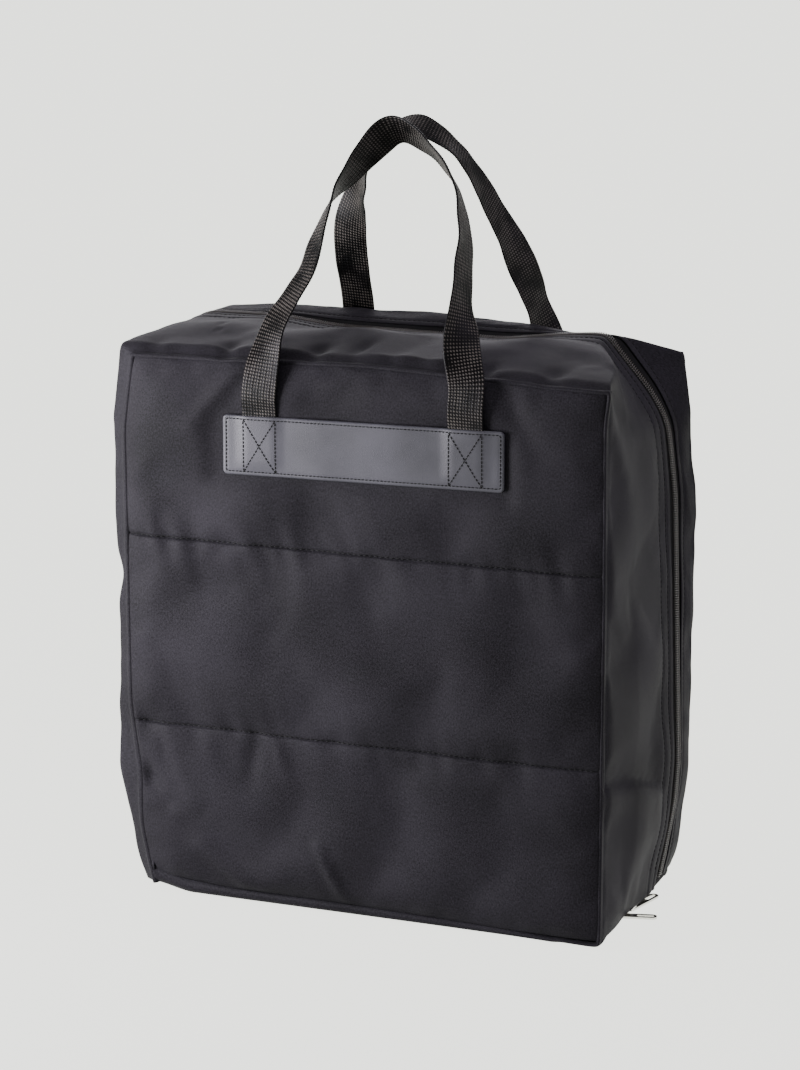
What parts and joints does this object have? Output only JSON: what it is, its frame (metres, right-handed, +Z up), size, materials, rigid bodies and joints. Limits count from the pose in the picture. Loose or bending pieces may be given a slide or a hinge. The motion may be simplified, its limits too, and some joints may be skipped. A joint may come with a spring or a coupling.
{
  "type": "insulated food carrier",
  "caption": "Soft square insulated carrier bag with quilted panels, a zipped fold-down back and a pair of webbing handles held by sewn patches.",
  "frame": {"origin": "middle of the underside, on the surface that the bag stands on", "axes": "+Z up, +X to the bag's right seen from its front, +Y to its back, where it opens"},
  "size_m": [0.3727, 0.1818, 0.5541],
  "materials": {
    "shell_fabric": "matt woven",
    "webbing": "matt woven",
    "leatherette": "satin grained",
    "foil_lining": "metallised, satin",
    "foam": "open-cell, matt",
    "board": "matt",
    "binding": "matt ribbed tape",
    "zip_tape": "matt woven",
    "zip_coil": "semi-gloss nylon",
    "nickel": "bright plated"
  },
  "bodies": {
    "shell": {"front_panel": "shell_fabric", "front_foam_bottom": "foam", "front_foam_middle": "foam", "front_foam_top": "foam", "front_lining": "foil_lining", "front_gusset": "shell_fabric", "front_gusset_foam": "foam", "front_gusset_lining": "foil_lining", "front_seam_tape": "binding", "front_zip_tape": "zip_tape", "front_zip_teeth": "zip_coil", "base_cover": "shell_fabric", "base_foam": "foam", "base_board": "board", "bottom_panel": "shell_fabric", "bottom_lining": "foil_lining", "base_binding": "binding", "zip_tail_tape": "zip_tape", "zip_tail_teeth": "zip_coil", "zip_tail_tack": "binding", "zip_end_stop": "nickel", "front_patch": "leatherette", "front_strap_tails": "webbing"},
    "lid": {"back_panel": "shell_fabric", "back_foam_bottom": "foam", "back_foam_middle": "foam", "back_foam_top": "foam", "back_lining": "foil_lining", "back_gusset": "shell_fabric", "back_gusset_foam": "foam", "back_gusset_lining": "foil_lining", "back_seam_tape": "binding", "back_zip_tape": "zip_tape", "back_zip_teeth": "zip_coil", "back_patch": "leatherette", "back_strap_tails": "webbing"},
    "handle_front": {"handle_front": "webbing"},
    "handle_back": {"handle_back": "webbing"},
    "zip_slider_side": {"zip_slider_side": "nickel"},
    "zip_slider_end": {"zip_slider_end": "nickel"},
    "zip_pull_side": {"zip_pull_side": "nickel"},
    "zip_pull_end": {"zip_pull_end": "nickel"}
  },
  "joints": [
    {"name": "lid_fold", "type": "hinge", "parent": "shell", "child": "lid", "pos_m": [0, 0.08, 0.012], "axis": [-1, 0, 0], "range_deg": [0, 90]},
    {"name": "handle_front_swing", "type": "hinge", "parent": "shell", "child": "handle_front", "pos_m": [0, -0.0899, 0.3534], "axis": [1, 0, 0], "range_deg": [0, 175]},
    {"name": "handle_back_swing", "type": "hinge", "parent": "lid", "child": "handle_back", "pos_m": [0, 0.0899, 0.3534], "axis": [-1, 0, 0], "range_deg": [0, 175]},
    {"name": "zip_slider_side_slide", "type": "slide", "parent": "shell", "child": "zip_slider_side", "axis": [0, 1, 0], "range_m": [0, 0.026]},
    {"name": "zip_slider_end_slide", "type": "slide", "parent": "shell", "child": "zip_slider_end", "axis": [-1, 0, 0], "range_m": [0, 0.002]},
    {"name": "zip_pull_side_swing", "type": "hinge", "parent": "zip_slider_side", "child": "zip_pull_side", "pos_m": [0.1655, -0.0033, 0.003], "axis": [-0.9703, 0.2419, 0], "range_deg": [0, 120]},
    {"name": "zip_pull_end_swing", "type": "hinge", "parent": "zip_slider_end", "child": "zip_pull_end", "pos_m": [0.1527, -0.02, 0.003], "axis": [-0.2419, 0.9703, 0], "range_deg": [0, 120]}
  ]
}
